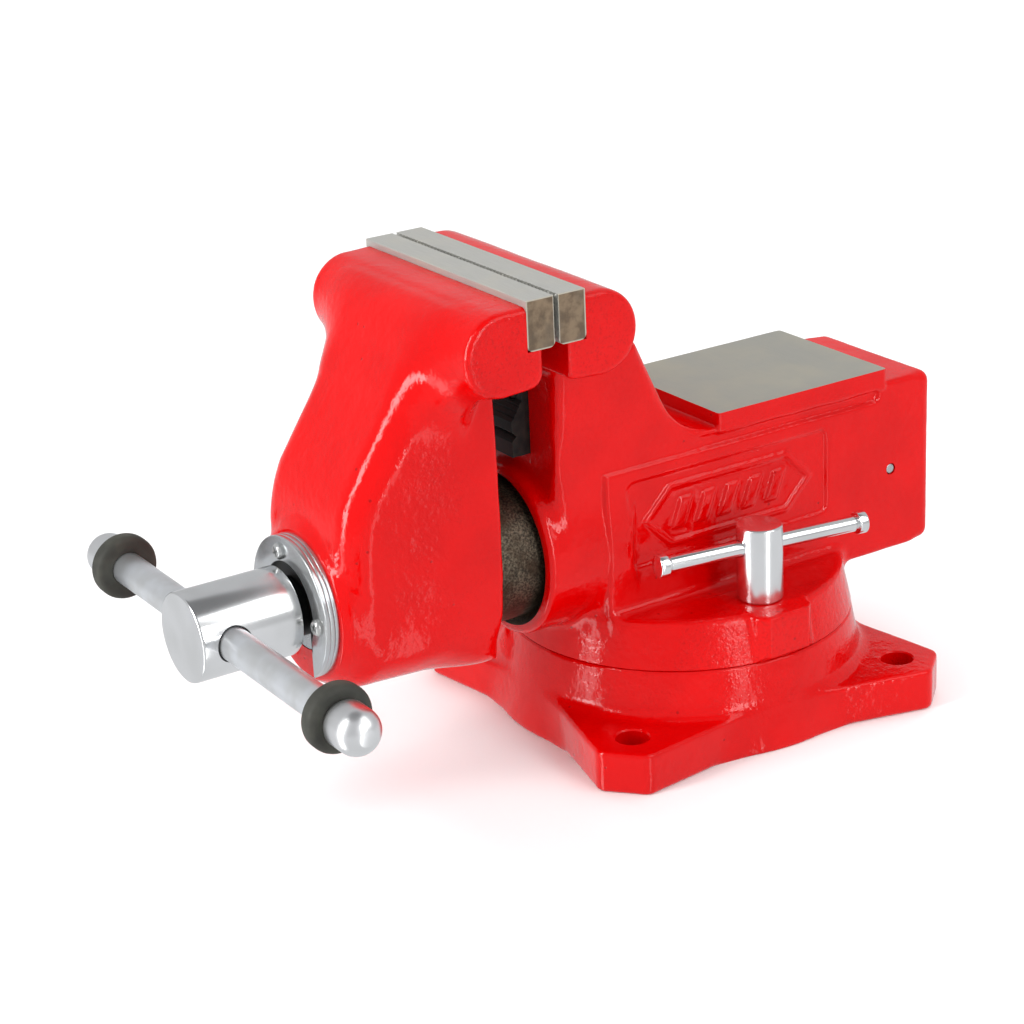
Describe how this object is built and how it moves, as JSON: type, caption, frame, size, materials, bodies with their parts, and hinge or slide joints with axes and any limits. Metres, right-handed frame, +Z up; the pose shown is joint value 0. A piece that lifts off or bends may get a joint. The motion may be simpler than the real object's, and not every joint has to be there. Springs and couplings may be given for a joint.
{
  "type": "bench vise",
  "caption": "Swivel-base bench vise with wide jaw plates, pipe jaws below them, a round slide moved by a screw with a cross handle, an anvil and a lock at each side of its base.",
  "frame": {"origin": "on the swivel axis, at the underside of the base", "axes": "+Y from the spindle handle to the tail, +X across the jaws towards the right-hand lock, +Z up"},
  "size_m": [0.306, 0.4875, 0.2925],
  "materials": {
    "red_enamel": "glossy red enamel over cast iron, with ground and bare faces",
    "ground_steel": "surface-ground tool steel",
    "black_oxide_steel": "black oxide",
    "rubber": "matt dark grey rubber",
    "bright_chrome": "polished chrome plate",
    "plain_iron": "oiled bare iron",
    "zinc_steel": "zinc plated"
  },
  "bodies": {
    "base": {"swivel_base": "red_enamel"},
    "body": {"fixed_body": "red_enamel", "rear_jaw_plate": "ground_steel", "rear_jaw_screws": "black_oxide_steel", "fixed_pipe_jaw": "black_oxide_steel", "fixed_pipe_jaw_screws": "black_oxide_steel", "tubular_nut": "plain_iron", "nut_pin": "zinc_steel", "slide_key": "ground_steel", "slide_key_screw": "black_oxide_steel", "pivot_bolt": "zinc_steel", "pivot_washer": "zinc_steel", "right_lock_bolt": "zinc_steel", "left_lock_bolt": "zinc_steel"},
    "jaw": {"movable_jaw": "red_enamel", "front_jaw_plate": "ground_steel", "front_jaw_screws": "black_oxide_steel", "movable_pipe_jaw": "black_oxide_steel", "movable_pipe_jaw_screws": "black_oxide_steel", "retainer_plate": "zinc_steel", "retainer_ring": "zinc_steel", "retainer_screws": "zinc_steel", "thrust_washer": "plain_iron"},
    "screw": {"spindle": "bright_chrome", "spindle_collar": "zinc_steel", "collar_pin": "zinc_steel"},
    "handle": {"handle_rod": "zinc_steel", "near_handle_cap": "bright_chrome", "far_handle_cap": "bright_chrome", "near_handle_ring": "rubber", "far_handle_ring": "rubber"},
    "right_nut": {"right_lock_nut": "bright_chrome"},
    "left_nut": {"left_lock_nut": "bright_chrome"},
    "right_bar": {"right_lock_bar": "bright_chrome"},
    "left_bar": {"left_lock_bar": "bright_chrome"}
  },
  "joints": [
    {"name": "body_swivel", "type": "hinge", "parent": "base", "child": "body", "pos_m": [0, 0, 0.053], "axis": [0, 0, 1], "continuous": true},
    {"name": "jaw_slide", "type": "slide", "parent": "body", "child": "jaw", "axis": [0, -1, 0], "range_m": [-0.0022, 0.1536]},
    {"name": "screw_turn", "type": "hinge", "parent": "jaw", "child": "screw", "pos_m": [0, -0.3, 0.1205], "axis": [0, 1, 0], "range_deg": [-9217, 133]},
    {"name": "handle_slide", "type": "slide", "parent": "screw", "child": "handle", "axis": [0.9998, 0, -0.0175], "range_m": [-0.1022, 0.0792]},
    {"name": "right_nut_turn", "type": "hinge", "parent": "body", "child": "right_nut", "pos_m": [0.08, 0, 0.1], "axis": [0, 0, 1], "range_deg": [-1, 17.8]},
    {"name": "left_nut_turn", "type": "hinge", "parent": "body", "child": "left_nut", "pos_m": [-0.08, 0, 0.1], "axis": [0, 0, 1], "range_deg": [-17.8, 1]},
    {"name": "right_bar_slide", "type": "slide", "parent": "right_nut", "child": "right_bar", "axis": [0.1461, 0.9893, 0], "range_m": [-0.0505, 0.047]},
    {"name": "left_bar_slide", "type": "slide", "parent": "left_nut", "child": "left_bar", "axis": [-0.1461, 0.9893, 0], "range_m": [-0.0505, 0.047]}
  ],
  "couplings": [
    {"joint": "screw_turn", "follows": "jaw_slide", "rad_per_m": -1047.2}
  ]
}
